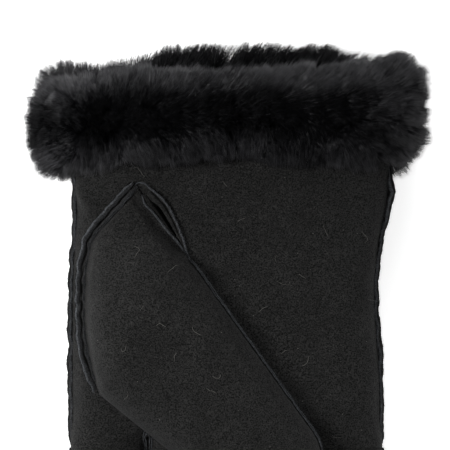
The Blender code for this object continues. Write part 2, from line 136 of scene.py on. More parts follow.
def mix(a, b, t):
    return a + (b - a) * t


def unit(vectors):
    return vectors / np.maximum(np.linalg.norm(vectors, axis=-1, keepdims=True), 1e-9)


def left_of(way):
    return np.array((-way[1], way[0]))


def power_point(angle, power):
    c, s = np.cos(angle), np.sin(angle)
    return np.sign(c) * np.abs(c) ** (2 / power), np.sign(s) * np.abs(s) ** (2 / power)


def power_height(u, power):
    return np.maximum(1 - np.minimum(np.abs(u), 1.0) ** power, 0.0) ** (1 / power)


def ripple(points, size, seed, waves=11):
    """Smooth noise from about -1 to 1, with features of a given size."""
    rng = np.random.default_rng(seed)
    turn = unit(rng.normal(size=(waves, 3)))
    pitch = 2 * pi / size * rng.uniform(0.6, 1.5, size=(waves, 1))
    phase = rng.uniform(0, 2 * pi, waves)
    return np.cos(points @ (turn * pitch).T + phase).sum(axis=-1) / sqrt(2.2 * waves)


def smooth_path(points, spacing):
    """Evenly spaced points on a smooth curve through the given ones."""
    pts = [np.array(p, float) for p in points]
    pts = [2 * pts[0] - pts[1]] + pts + [2 * pts[-1] - pts[-2]]
    fine = []
    for a, b, c, d in zip(pts, pts[1:], pts[2:], pts[3:]):
        for t in np.linspace(0, 1, 24, endpoint=False):
            fine.append(0.5 * (2 * b + (c - a) * t + (2 * a - 5 * b + 4 * c - d) * t * t
                               + (3 * b - 3 * c + d - a) * t ** 3))
    return resample(np.array(fine + [pts[-2]]), spacing)


def travelled(path):
    """How far along a path each of its points lies."""
    return np.concatenate([[0], np.cumsum(np.linalg.norm(np.diff(path, axis=0), axis=1))])


def interpolate(wanted, along, path):
    return np.stack([np.interp(wanted, along, column) for column in path.T], axis=1)


def resample(path, spacing):
    along = travelled(path)
    return interpolate(np.linspace(0, along[-1], max(int(along[-1] / spacing), 2) + 1), along, path)


def spaced(path, count):
    """count places spread evenly over a path's own points."""
    return interpolate(np.linspace(0, 1, count), np.linspace(0, 1, len(path)), path)


def tree_of(places):
    tree = kdtree.KDTree(len(places))
    for k, place in enumerate(places):
        tree.insert(Vector(place), k)
    tree.balance()
    return tree


# --- meshes


def add_object(name, data):
    obj = bpy.data.objects.new(name, data)
    bpy.context.collection.objects.link(obj)
    return obj


NO_TRIS = np.zeros((0, 3), int)


def mesh_object(name, verts, quads, tris, materials, slots=None):
    """A smooth-shaded object from points in mm, and four- and three-cornered faces."""
    corners = np.concatenate([quads.ravel(), tris.ravel()]).astype(np.int32)
    starts = np.concatenate([np.arange(len(quads)) * 4, len(quads) * 4 + np.arange(len(tris)) * 3])
    mesh = bpy.data.meshes.new(name)
    mesh.vertices.add(len(verts))
    mesh.vertices.foreach_set("co", (verts * MM).astype(np.float32).ravel())
    mesh.loops.add(len(corners))
    mesh.loops.foreach_set("vertex_index", corners)
    mesh.polygons.add(len(starts))
    mesh.polygons.foreach_set("loop_start", starts.astype(np.int32))
    mesh.polygons.foreach_set("use_smooth", np.ones(len(starts), bool))
    for material in materials:
        mesh.materials.append(material)
    if slots is not None:
        mesh.polygons.foreach_set("material_index", np.asarray(slots, np.int32))
    mesh.update(calc_edges=True)
    mesh.validate()
    return add_object(name, mesh)


def grid_quads(rows, columns, wrap=False):
    r, c = np.meshgrid(np.arange(rows - 1), np.arange(columns if wrap else columns - 1),
                       indexing="ij")
    d = (c + 1) % columns
    quads = np.stack([r * columns + c, r * columns + d, (r + 1) * columns + d,
                      (r + 1) * columns + c], axis=-1)
    return quads.reshape(-1, 4)


def point_normals(verts, quads):
    p = verts[quads]
    face = np.cross(p[:, 2] - p[:, 0], p[:, 3] - p[:, 1])
    normals = np.zeros_like(verts)
    for k in range(4):
        np.add.at(normals, quads[:, k], face)
    return unit(normals)


def shell(name, outer, inner, quads, materials):
    """A closed body of outer faces, inner faces in any second material, and rims between."""
    count = len(outer)
    edges = np.concatenate([quads[:, [k, (k + 1) % 4]] for k in range(4)])
    codes = edges[:, 0] * count + edges[:, 1]
    rim = edges[~np.isin(codes, edges[:, 1] * count + edges[:, 0])]
    rim = np.stack([rim[:, 1], rim[:, 0], rim[:, 0] + count, rim[:, 1] + count], axis=1)
    faces = np.concatenate([quads, quads[:, ::-1] + count, rim])
    slots = np.concatenate([np.zeros(len(quads)), np.ones(len(quads)), np.zeros(len(rim))])
    return mesh_object(name, np.concatenate([outer, inner]), faces, NO_TRIS, materials,
                       slots if len(materials) > 1 else None)


def facing(verts, quads, outward):
    """Faces turned to look outward, on the whole."""
    return quads[:, ::-1] if (point_normals(verts, quads) @ outward).sum() < 0 else quads


def thick_sheet(name, verts, quads, outward, thickness, materials):
    """A shell with its inner face a thickness, one or one per point, below its outer one."""
    thickness = np.broadcast_to(np.asarray(thickness, float).reshape(-1), (len(verts),))
    used, quads = np.unique(facing(verts, quads, outward), return_inverse=True)
    verts, quads = verts[used], quads.reshape(-1, 4)
    inner = verts - point_normals(verts, quads) * thickness[used][:, None]
    return shell(name, verts, inner, quads, materials)


def thick_grid(name, grid, outward, thickness, materials):
    quads = grid_quads(*grid.shape[:2])
    return thick_sheet(name, grid.reshape(-1, 3), quads, outward, thickness, materials)


def grid_normals(grid, face):
    """Normals of a grid, on the whole up for face 1 and down for face -1."""
    normals = unit(np.cross(np.gradient(grid, axis=0), np.gradient(grid, axis=1)))
    return normals * np.sign((normals[..., 2] * face).sum())


def sweep(path, side, up, section, size=1.0):
    """A closed body swept along a path. section is (side, up) pairs."""
    count, last = len(section), (len(path) - 1) * len(section)
    side, up = np.broadcast_to(side, path.shape), np.broadcast_to(up, path.shape)
    offsets = side[:, None] * section[:, :1] + up[:, None] * section[:, 1:]
    size = np.broadcast_to(size, (len(path),))[:, None, None]
    verts = (path[:, None] + offsets * size).reshape(-1, 3)
    ends = [(0, k + 1, k) for k in range(1, count - 1)]
    ends += [(last, last + k, last + k + 1) for k in range(1, count - 1)]
    return verts, grid_quads(len(path), count, wrap=True), np.array(ends)


def join_parts(parts):
    """Joins (points, quads, tris) parts."""
    base = np.cumsum([0] + [len(part[0]) for part in parts])
    return (np.concatenate([part[0] for part in parts]),
            *(np.concatenate([part[k] + b for part, b in zip(parts, base)]) for k in (1, 2)))


# --- materials


def set_inputs(node, **values):
    """Sets sockets' constants; an underscore in a name stands for a space."""
    for name, value in values.items():
        node.inputs[name.replace("_", " ")].default_value = value
    return node


def principled(name, colour, roughness, specular=0.5, sheen=0.0):
    material = bpy.data.materials.new(name)
    material.use_nodes = True
    set_inputs(material.node_tree.nodes["Principled BSDF"], Base_Color=(*colour, 1.0),
               Roughness=roughness, Specular_IOR_Level=specular, Sheen_Weight=sheen,
               Sheen_Tint=(0.9, 0.94, 1.0, 1.0))
    return material


def add_node(tree, kind, *sources, **values):
    """A new node. sources pairs inputs with the outputs that feed them."""
    node = set_inputs(tree.nodes.new(kind), **values)
    for place, output in sources:
        tree.links.new(output, node.inputs[place])
    return node


def noise(tree, place, scale, detail, rough, low, high):
    """Noise whose values from low to high are stretched over 0 to 1."""
    value = add_node(tree, "ShaderNodeTexNoise", ("Vector", place), Scale=scale, Detail=detail,
                     Roughness=rough).outputs["Fac"]
    return add_node(tree, "ShaderNodeMapRange", ("Value", value), From_Min=low,
                    From_Max=high).outputs["Result"]


def tone_layer(tree, below, factor, dark, light):
    """A mix of two colours, multiplied onto the one below where there is one."""
    kinds = ("MIX", "MULTIPLY") if below else ("MIX",)
    nodes = [tree.nodes.new("ShaderNodeMix") for _ in kinds]
    for node, kind in zip(nodes, kinds):
        node.data_type, node.blend_type = "RGBA", kind
    tree.links.new(factor, nodes[0].inputs[0])
    nodes[0].inputs[6].default_value, nodes[0].inputs[7].default_value = (*dark, 1), (*light, 1)
    if below:
        nodes[1].inputs[0].default_value = 1.0
        tree.links.new(below, nodes[1].inputs[6])
        tree.links.new(nodes[0].outputs[2], nodes[1].inputs[7])
    return nodes[-1].outputs[2]


def nap_material(name, dark, light, fine, coarse, bump_mm, sheen, roughness=0.95):
    """Napped leather or wool: fine fibres over broad brushed patches, with a matching bump."""
    material = principled(name, light, roughness, 0.16, sheen)
    tree = material.node_tree
    place = add_node(tree, "ShaderNodeTexCoord").outputs["Object"]
    fibres = noise(tree, place, fine, 4.0, 0.75, 0.42, 0.58)
    mottle = noise(tree, place, fine / 3.5, 2.0, 0.6, 0.3, 0.7)
    patches = noise(tree, place, coarse, 2.0, 0.5, 0.3, 0.7)
    colour = tone_layer(tree, None, fibres, dark, light)
    for factor, strength in ((mottle, 0.24), (patches, 0.16)):
        colour = tone_layer(tree, colour, factor, (1 - strength,) * 3, (1 + strength,) * 3)
    bumps = add_node(tree, "ShaderNodeBump", ("Height", fibres), Strength=0.6,
                     Distance=bump_mm * MM)
    inputs = tree.nodes["Principled BSDF"].inputs
    tree.links.new(colour, inputs["Base Color"])
    tree.links.new(bumps.outputs["Normal"], inputs["Normal"])
    return material


SUEDE, HEM, RAW_EDGE, WOOL, FUR_BED, THREAD = (nap_material(*values) for values in (
    ("suede", (0.0010, 0.0010, 0.0009), (0.0238, 0.0236, 0.0229), 1900, 85, 0.2, 0.02),
    ("hem", (0.0045, 0.0047, 0.0050), (0.030, 0.031, 0.033), 2150, 200, 0.2, 0.04),
    ("raw_edge", (0.016, 0.017, 0.019), (0.080, 0.085, 0.092), 2300, 260, 0.3, 0.08),
    ("wool", (0.003, 0.003, 0.0035), (0.011, 0.011, 0.012), 900, 120, 0.8, 0.03),
    ("fur_bed", (0.0012, 0.0012, 0.0015), (0.004, 0.004, 0.005), 900, 90, 0.8, 0.0),
    ("thread", (0.003, 0.003, 0.003), (0.012, 0.012, 0.012), 3000, 300, 0.1, 0.0, 0.8)))
# The fur's fibres, from the darkest to the lightest: colour, roughness and specular level. The
# lighter ones carry painted sheen and the darker ones painted shade, besides tone that differs at
# random.
FUR_TONES = [principled(f"fur_{k}", *values) for k, values in enumerate((
    ((0.0011, 0.0011, 0.0017), 0.50, 0.10), ((0.0028, 0.0027, 0.0039), 0.45, 0.25),
    ((0.0070, 0.0068, 0.0088), 0.42, 0.40), ((0.0175, 0.0172, 0.0205), 0.40, 0.50),
    ((0.0400, 0.0395, 0.0445), 0.38, 0.60)))]
FUZZ = principled("fuzz", (0.045, 0.048, 0.052), 0.8, 0.3)
LINT = principled("lint", (0.11, 0.106, 0.098), 0.7, 0.3)

# --- the hand's shape


def hand_half_width(y, side):
    narrow = HALF_WIDTH + 0.4 - 1.9 * bump(y, 58, 20)
    wide = HALF_WIDTH - 2.2 * bump(y, 22, 20) + 3.0 * ease(y, 40, 66)
    return np.where(side < 0, narrow, wide)


def hand_middle(y):
    """Height of the hand's middle plane, and how far its face lies from it."""
    t = ease(y, WRIST_START, WRIST_END)
    return mix(HALF_HEIGHT, CUFF_CENTRE, t), mix(HALF_HEIGHT, CUFF_HALF_HEIGHT, t)


def finger_share(y):
    """0 in the palm, 1 where the hand has divided into fingers."""
    return ease(-np.asarray(y, float), -CROTCH_Y - 7, -CROTCH_Y + 4.8)


def palm_swell(x):
    """Height over the hand's middle plane, as a share. Its halves draw together at the seams."""
    pinch = 1 - np.exp(-(np.maximum(HALF_WIDTH - np.abs(x), 0) + 0.6) / 2.2)
    return power_height(x / HALF_WIDTH, PALM_POWER) * pinch


def hand_surface(finger_x, c, s, y, face):
    """Points of the hand's skin at superellipse places (c, s) across a finger."""
    x = finger_x + FINGER_HALF_WIDTH * c
    x_hand = x / HALF_WIDTH * hand_half_width(y, x)
    full = 1.0 if face > 0 else UNDER_FULLNESS
    centre, half = hand_middle(y)
    z_hand = centre + face * half * full * palm_swell(x)
    z_finger = FINGER_HALF_HEIGHT * (1 + face * full * np.abs(s))
    t = finger_share(y)
    points = np.stack(np.broadcast_arrays(mix(x_hand, x, t), y, mix(z_hand, z_finger, t)),
                      axis=-1).astype(float)
    if face < 0:
        points[..., 2] = np.maximum(points[..., 2], (centre - half) * (1 - t))
    return points


def hand_top(x, y):
    """The palm's height before it is softened."""
    centre, half = hand_middle(y)
    return centre + half * palm_swell(x / hand_half_width(y, x) * HALF_WIDTH)


# A small fold in the hide near the thumb side's edge, just below the cuff.
FOLD_PLACE = np.array((4.5 - HALF_WIDTH, WRIST_END - 13.5))
FOLD_WAY = np.array((0.55, -0.835))
FOLD_HEIGHT = 1.9


def softness(points):
    """How far soft hide lies above or below its smooth shape."""
    away = points[..., :2] - FOLD_PLACE
    fold = FOLD_HEIGHT * bump(away @ FOLD_WAY, 0, 6.0) * bump(away @ left_of(FOLD_WAY), 0, 2.1)
    return (fold + 0.55 * ripple(points, 46, 11) + 0.28 * ripple(points, 17, 12)
            + 0.09 * ripple(points, 6, 13))


def soften(grid, normals, strength):
    return grid + normals * (softness(grid) * strength)[..., None]


def off_table(strength, grid, face):
    """Fades a relief's strength out where the glove's back lies on the table."""
    return strength * ease(grid[..., 2], 0.2, 3.0) if face < 0 else strength


def on_palm(xy, lift=0.0):
    """Points lying on the softened palm at places (..., 2)."""
    points = np.concatenate([xy, hand_top(xy[..., 0], xy[..., 1])[..., None]], axis=-1)
    points[..., 2] += softness(points) + lift
    return points


CELLS = 22  # across each finger
STEP = 1.25  # along the hand


def fourchettes(finger):
    """Angles that fourchettes take up at a finger's left and right."""
    return FOURCHETTE_ANGLE * (finger > 0), FOURCHETTE_ANGLE * (finger < 3)


def finger_places(finger):
    """Superellipse places across a finger, between its fourchettes."""
    left, right = fourchettes(finger)
    return power_point(np.linspace(pi - left, right, CELLS + 1), FINGER_POWER)


def pucker(y, distance, seed):
    """Small gathers in the hide beside a stitched seam."""
    wave = np.cos(2 * pi * y / 5.3 + 1.7 * np.sin(y / 7.1 + seed))
    return 0.20 * wave * np.exp(-(distance / 3.5) ** 2)


def hand_skin(face):
    """The palm's or the back's skin, slotted at the crotches."""
    ys = np.arange(FINGER_SPLIT_Y - 2 * STEP, MOUTH_Y - 3.0, STEP)[::-1]
    c, s = np.concatenate([finger_places(f) for f in range(4)], axis=1)
    grid = hand_surface(np.repeat(FINGER_X, CELLS + 1), c, s, ys[:, None], face)
    normals = grid_normals(grid, face)
    edge = 1 - np.minimum(np.abs(grid[..., 0]) / HALF_WIDTH, 1)
    calm = np.minimum(edge * 12, 1)
    calm = off_table(calm, grid, face)
    gathers = pucker(grid[..., 1], edge * HALF_WIDTH, face) * calm
    grid = soften(grid, normals, calm) + normals * gathers[..., None]
    quads = grid_quads(*grid.shape[:2])
    row, column = np.divmod(quads[:, 0], grid.shape[1])
    slot = column % (CELLS + 1) == CELLS
    return grid, quads[(~slot | (ys[row + 1] >= CROTCH_Y - 0.1)) & (row < len(grid) - 3)]


def lined(distance):
    """Thickness of hide and wool; the wool is trimmed away near a seam."""
    return HIDE * 0.5 + (SHEARLING - HIDE * 0.5) * ease(distance, 0.5, 9.0)


def dress(nodes):
    """Hides the CAD nodes that a piece stands for."""
    if nodes:
        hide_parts(*nodes)


def ride_hand(obj, slot, *nodes):
    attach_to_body(obj, "hand")
    dress(nodes)


def blend_finger(finger, obj, slot, *nodes):
    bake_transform(obj)
    dress(nodes)


# --- fingers


def finger_skin(finger, first, last, cells):
    """A finger's skin between two edges, and each point's sine place.

    An edge is an angle round the finger, and how far it moves away from the tip.
    """
    radius, tip = TIP_HALF_WIDTH, FINGER_TIP_Y[finger]
    ys = np.arange(FINGER_SPLIT_Y + 2 * STEP, tip + radius, -STEP)
    share = np.clip((HINGE_Y - ys) / (HINGE_Y - tip - radius), 0, 1)
    widths = mix(FINGER_HALF_WIDTH, radius, share)
    turn = np.radians(np.linspace(0, 88.5, 15))
    scales = np.concatenate([np.ones(len(ys)), np.cos(turn) ** 0.62])
    ys = np.concatenate([ys, tip + radius - radius * np.sin(turn)])
    widths = np.concatenate([widths, radius * np.cos(turn)])
    closing = ease(ys, tip + 8, tip + 26)
    left, right = ((centre + reach * closing)[:, None] for centre, reach in (first, last))
    c, s = power_point(mix(left, right, np.linspace(0, 1, cells + 1)), FINGER_POWER)
    full = np.where(s < 0, UNDER_FULLNESS, 1.0)
    z = FINGER_HALF_HEIGHT * (1 + full * s * scales[:, None])
    x = FINGER_X[finger] + widths[:, None] * c
    grid = np.stack([x, np.broadcast_to(ys[:, None], x.shape), np.maximum(z, 0)], axis=-1)
    return grid, s


def finger_creases(grid, finger):
    """Soft cross creases where the wearer's joints have been."""
    y = grid[..., 1] + 1.2 * ripple(grid, 14, 60 + finger)
    knuckles = (HINGE_Y + 2.5, mix(HINGE_Y, FINGER_TIP_Y[finger], 0.48))
    return sum(-0.55 * bump(y, k, 1.6) + 0.3 * bump(y, k + 4.2, 2.4) for k in knuckles)


def make_finger(finger):
    name = FINGERS[finger]
    left, right = fourchettes(finger)
    for face, part in ((1, "front"), (-1, "back")):
        grid, s = finger_skin(finger, (face * pi, -face * left), (0.0, face * right), CELLS)
        normals = grid_normals(grid, face)
        calm = off_table(np.abs(s) ** 1.5, grid, face)
        grid = soften(grid, normals, calm)
        grid += normals * (finger_creases(grid, finger) * calm)[..., None]
        thickness = lined(np.abs(s[2:]) * FINGER_HALF_HEIGHT)
        skin = thick_grid(f"{name}_{part}_skin", grid[2:], (0, 0, face), thickness, (SUEDE, WOOL))
        nodes = [f"{name}_{part}"] + ([f"{name}_pile"] if face > 0 else [])
        blend_finger(finger, skin, "suede", *nodes)

    for present, side, label in ((left, -1, "thumb_side"), (right, 1, "little_side")):
        if present:
            centre = pi if side < 0 else 0.0
            grid, _ = finger_skin(finger, (centre, -present), (centre, present), 8)
            wall = thick_grid(f"{name}_wall_{label}", grid[2:-5], (side, 0, 0), HIDE, (SUEDE,))
            blend_finger(finger, wall, "suede", f"{name}_fourchette_{label}")


# --- thumb

THUMB_MIDDLE, THUMB_CREST = np.split(joint_place("thumb_lift"), [2])
HINGE_WAY = -np.array(JOINTS["thumb_lift"]["axis"])[:2]
THUMB_LOW, THUMB_HIGH = box_mm("thumb_back")
THUMB_TIP_RADIUS = 20.5
THUMB_ROOT_HALF = (THUMB_MIDDLE[0] - THUMB_LOW[0] + 0.25) / HINGE_WAY[0]
CROTCH_END = THUMB_MIDDLE - HINGE_WAY * THUMB_ROOT_HALF
SLIT_END = THUMB_MIDDLE + HINGE_WAY * THUMB_ROOT_HALF
TIP_CENTRE = np.array((THUMB_HIGH[0] - THUMB_TIP_RADIUS, THUMB_LOW[1] + THUMB_TIP_RADIUS))
THUMB_AXIS = unit(TIP_CENTRE - THUMB_MIDDLE)
THUMB_ACROSS = left_of(THUMB_AXIS)
THUMB_SEAM_RISE = 2.1  # height of the free thumb's edge seam over the palm
THUMB_TILT = 0.2  # how far the thumb leans to its left, as a share of its rise

# The seam's course from the crotch end of the hinge, and the slit's from its lower end.
OUTSEAM = [CROTCH_END + np.array(p) for p in ((0, 0), (-5.4, 14.5), (-7.1, 27.8), (-6.9, 43.8),
                                               (-4.0, 58.9), (4.0, 69.1), (13.8, 79.8))]
SLIT_LEFT = [SLIT_END + np.array(p) for p in ((0, 0), (-2.1, 3.3), (-5.7, 7.6), (-9.9, 12.5),
                                               (-13.5, 17.5), (-16.6, 20.6), (-17.6, 24.2))]
SLIT_RIGHT = [SLIT_END + np.array(p) for p in ((0, 0), (-2.9, 8.3), (-5.0, 13.9), (-7.8, 19.6),
                                                (-11.2, 23.6), (-14.6, 26.6))]


def leaf_rows(count):
    """Left and right ends of the leaf's sections, from its top to the hinge."""
    return [spaced(resample(smooth_path(line, 0.5)[::-1], 80.0 / count), count)
            for line in (OUTSEAM, SLIT_LEFT)]


def thumb_sections():
    """Sections of leaf and thumb: left, right, height scale, share of free thumb."""
    a, b = leaf_rows(56)
    t = np.linspace(0, 1, len(a))
    parts = [(a[:-1], b[:-1], 0.05 + 0.95 * ease(t[:-1], 0.0, 1.0), t[:-1] - 1)]
    length = np.linalg.norm(TIP_CENTRE - THUMB_MIDDLE)
    t = np.arange(0, 1, STEP / length)[:, None]
    middle = mix(THUMB_MIDDLE, TIP_CENTRE, t)
    half = mix(HINGE_WAY * THUMB_ROOT_HALF, THUMB_ACROSS * THUMB_TIP_RADIUS, t)
    parts.append((middle - half, middle + half, np.ones(len(t)), t[:, 0]))
    turn = np.radians(np.linspace(0, 88, 20))[:, None]
    middle = TIP_CENTRE + THUMB_AXIS * THUMB_TIP_RADIUS * np.sin(turn)
    half = THUMB_ACROSS * THUMB_TIP_RADIUS * np.cos(turn)
    parts.append((middle - half, middle + half, np.cos(turn[:, 0]) ** 0.6, 1 + turn[:, 0]))
    return [np.concatenate([p[k] for p in parts]) for k in range(4)]


def thumb_seam_height(x, y, free, left):
    """Height of the edge seam. left is 1 on the left edge, and 0 on the right, which lies lower."""
    ground = on_palm(np.stack(np.broadcast_arrays(x, y), axis=-1).astype(float))[..., 2]
    raised = mix(ease(free, -0.25, 0.2), ease(free, -1.0, -0.6), left)
    return ground + 0.5 + (THUMB_SEAM_RISE - 0.5) * raised


def thumb_grid(face):
    """The leaf and thumb from edge to edge, and each point's distance from an edge."""
    left, right, scale, free = thumb_sections()
    scale, loose = scale[:, None], ease(free, -0.22, 0.12)[:, None]
    u = np.sin(np.linspace(-pi / 2, pi / 2, 41))
    middle, half = (left + right) / 2, (right - left) / 2
    xy = middle[:, None] + half[:, None] * u[None, :, None]
    distance = (1 - np.abs(u)) * np.linalg.norm(half, axis=1)[:, None]
    base = thumb_seam_height(xy[..., 0], xy[..., 1], free[:, None], (1 - u) / 2)
    if face > 0:
        swell = (1 - np.abs(u) ** 3.0) ** mix(0.78, 0.55, loose)
        swell = swell * ease(distance, mix(1.3, -1.0, loose), mix(5.0, 0.8, loose))
        rise = (THUMB_CREST - base) * scale * swell * (1 - THUMB_TILT * u)
    else:
        rise = (on_palm(xy, 0.6)[..., 2] - base) * scale * power_height(u, 4)
    grid = np.concatenate([xy, (base + rise)[..., None]], axis=-1)
    if face > 0:
        for edge in (0, -1):
            grid[free < 0, edge] = on_palm(xy[free < 0, edge], -0.3)
    return grid, distance, free


def blend_thumb(obj, slot, *nodes):
    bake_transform(obj)
    dress(nodes)


def make_thumb():
    grid, distance, free = thumb_grid(1)
    normals = grid_normals(grid, 1)
    calm = np.minimum(distance / 4, 1)
    grid = soften(grid, normals, calm * 0.9)
    grid += normals * (pucker(grid[..., 1], distance, 5) * np.minimum(distance, 1))[..., None]
    skin = thick_grid("thumb_top_skin", grid, (0, 0, 1), lined(distance) * 0.7, (SUEDE, WOOL))
    blend_thumb(skin, "suede", "thumb_front", "thumb_base_leaf", "thumb_pile", "thumb_base_pile")
    make_lint("thumb_lint", grid[distance > 3], 12, 22, 6, blend_thumb)

    grid, distance, free = thumb_grid(-1)
    under = thick_grid("thumb_under_skin", grid[free >= 0], (0, 0, -1), HIDE, (SUEDE,))
    blend_thumb(under, "suede", "thumb_back")


def between(points, left, right, left_hem, right_hem, reach, least=0.0):
    """Which points lie between two rows of ends, inside their hems.

    reach is how far each pair speaks for to either side, and least the narrowest that does.
    """
    inside = np.zeros(len(points), bool)
    for a, b in zip(left, right):
        width = np.linalg.norm(b - a)
        across = (b - a) / max(width, 1e-6)
        along = (points - a) @ across
        off = (points - a) @ left_of(across)
        if width >= least:
            inside |= (along > left_hem) & (along < width - right_hem) & (np.abs(off) < reach)
    return inside


def clear_palm(verts):
    """The palm's points that neither the thumb nor the fur covers."""
    x, y, z = verts.T
    thumb_edge = np.interp(y, (-60, -39, 10, 66), (38, 36, 4, -28))
    clear = (x >= thumb_edge + 3) | (y >= 66)
    return verts[clear & (y < 70) & (z > HALF_HEIGHT) & (np.abs(x) < HALF_WIDTH - 4)]


# --- the hand's pieces


def crotch_courses(grid, face):
    """The seams round the crotches, along the slots in the hand's skin."""
    rows = np.flatnonzero(grid[:, 0, 1] < CROTCH_Y + 2.0 * STEP)
    courses = []
    for finger in range(3):
        column = (finger + 1) * (CELLS + 1) - 1
        left, right = grid[rows, column], grid[rows, column + 1]
        middle = (left[:1] + right[:1]) / 2
        path = np.concatenate([left[:1:-1], middle + (0.0, 1.0, 0.2 * face), right[2:]])
        path[:, 2] = np.maximum(path[:, 2], 2.0)
        courses.append(course(path, (0.0, 0.3, face), 0.6))
    return courses


LEAF_HEM = 5.0  # how far the palm runs on under the leaf's edge
SLIT_HEM = 1.4  # and under the slit's right lip


def make_hand():
    crotches = []
    for face, part in ((1, "palm"), (-1, "back")):
        grid, quads = hand_skin(face)
        crotches += crotch_courses(grid, face)
        verts = grid.reshape(-1, 3)
        if face > 0:
            middles = verts[quads].mean(axis=1)[:, :2]
            slit = [side[4:] for side in slit_sides(50)]
            leaf = between(middles, *leaf_rows(40), LEAF_HEM, LEAF_HEM, 1.6, 2 * LEAF_HEM + 2)
            quads = quads[~leaf & ~between(middles, *slit, 0.0, SLIT_HEM, 0.8)]
            make_lint("hand_lint", clear_palm(verts), 13, 30, 5, ride_hand)
        skin = thick_sheet(f"{part}_skin", verts, quads, (0, 0, face),
                           lined(HALF_WIDTH - np.abs(verts[:, 0])), (SUEDE, WOOL))
        ride_hand(skin, "suede", f"{part}_panel", f"{part}_pile")
    for finger in range(3):
        make_crotch_wall(finger)
    seam_piece("crotch_seam", crotches, ride_hand, [], gap=0.0, widths=(0.5, 0.5), lean=0.1,
               fuzz=4.0)


def make_crotch_wall(finger):
    """The fourchette bent round a crotch."""
    left = FINGER_X[finger] + FINGER_HALF_WIDTH
    right = FINGER_X[finger + 1] - FINGER_HALF_WIDTH
    turn = np.linspace(0, pi, 9)
    radius = (right - left) / 2
    arc = np.stack([(left + right) / 2 - radius * np.cos(turn),
                    CROTCH_Y - radius + radius * np.sin(turn)], axis=1)
    path = resample(np.concatenate([[(left, FINGER_SPLIT_Y)], arc, [(right, FINGER_SPLIT_Y)]]), 0.6)
    _, s = power_point(np.linspace(-FOURCHETTE_ANGLE, FOURCHETTE_ANGLE, 9), FINGER_POWER)
    z = FINGER_HALF_HEIGHT * (1 + s * np.where(s < 0, UNDER_FULLNESS, 1.0) * 1.15)
    grid = np.zeros((len(path), len(z), 3))
    grid[..., :2] = path[:, None, :]
    grid[..., 2] = z[None, :]
    name = f"{FINGERS[finger]}_{FINGERS[finger + 1]}"
    wall = thick_grid(f"crotch_wall_{name}", grid, (0, -1, 0), 0.9, (SUEDE,))
    ride_hand(wall, "suede", f"fourchette_{name}")


# --- seams

RING = np.array([(cos(a), sin(a)) for a in np.linspace(0, 2 * pi, 7)[:-1]])
LIP_PROFILE = np.array(((-0.50, -0.50), (-0.53, 0.35), (-0.45, 0.78), (-0.20, 0.98), (0.14, 1.0),
                        (0.42, 0.84), (0.53, 0.40), (0.50, -0.50)))
# Material of each of the profile's faces. A wide lip shows a cut edge on its outer side only.
LIP_FACES = (0, 0, 1, 1, 1, 0, 0, 0)
WIDE_LIP_FACES = {-1: (0, 1, 1, 2, 2, 0, 0, 0), 1: (0, 0, 2, 2, 1, 1, 0, 0)}
LIP_HEIGHT = 1.7
STITCH = 3.4
COURSE_STEP = 0.55
THREAD_RADIUS = 0.17


def course(path, up, height=1.0):
    """A seam's course: place, the way its lips stand, and how tall they are."""
    up, height = np.broadcast_to(up, path.shape), np.broadcast_to(height, (len(path),))
    rows = resample(np.column_stack([path, up, height]), COURSE_STEP)
    rows[:, 3:6] = unit(rows[:, 3:6])
    return rows


def seam_frame(rows):
    path, up = rows[:, :3], rows[:, 3:6]
    along = unit(np.gradient(path, axis=0))
    side = unit(np.cross(along, up))
    return path, side, unit(np.cross(side, along)), travelled(path)


def make_lip(rows, shift, lean, thickness, seed, faces=LIP_FACES):
    """One standing edge of hide along a seam: its mesh part, material slots, and crest."""
    path, side, up, travel = seam_frame(rows)
    hand = np.sign(shift) if shift else 1.0
    stitched = 0.5 + 0.5 * np.cos(2 * pi * travel / STITCH)
    tall = rows[:, 6] * LIP_HEIGHT * (1 + 0.16 * ripple(path, 6, seed)
                                      + 0.07 * ripple(path, 1.6, seed) - 0.07 * stitched)
    wide = thickness * (1 + 0.14 * ripple(path, 4, seed + 1) + 0.06 * ripple(path, 1.4, seed + 1))
    whole = ease(travel, 0.0, 4.0) * ease(travel[-1] - travel, 0.0, 4.0)
    tilt = hand * (lean + 0.22 * ripple(path, 7, seed + 2) + 0.10 * ripple(path, 2.4, seed + 2))
    tilt = tilt[:, None]
    across = (side * np.cos(tilt) - up * np.sin(tilt)) * (wide * (0.4 + 0.6 * whole))[:, None]
    stand = (side * np.sin(tilt) + up * np.cos(tilt)) * (tall * (0.45 + 0.55 * whole))[:, None]
    base = path + side * (shift + 0.16 * ripple(path, 4.5, seed + 3))[:, None]
    crest = base + stand * 0.97 + across * 0.2
    return (sweep(base, across, stand, LIP_PROFILE), np.tile(faces, len(path) - 1),
            (crest, unit(stand)))


def make_stitches(rows, offset):
    """Running stitches along one outer face of a seam's lips."""
    path, side, up, travel = seam_frame(rows)
    parts = []
    for at in np.arange(STITCH * 0.75, travel[-1] - 1.2, STITCH):
        span = np.linspace(at - 1.05, at + 1.05, 7)
        bow = 0.16 * (1 - np.linspace(-1, 1, 7) ** 4) - 0.10
        place = interpolate(span, travel, path)
        k = min(int(np.searchsorted(travel, at)), len(path) - 1)
        lift = up[k] * (0.42 * LIP_HEIGHT * rows[k, 6])
        place = place + lift + side[k] * (offset + np.sign(offset) * bow)[:, None]
        parts.append(sweep(place, side[k], up[k], RING * THREAD_RADIUS))
    return parts


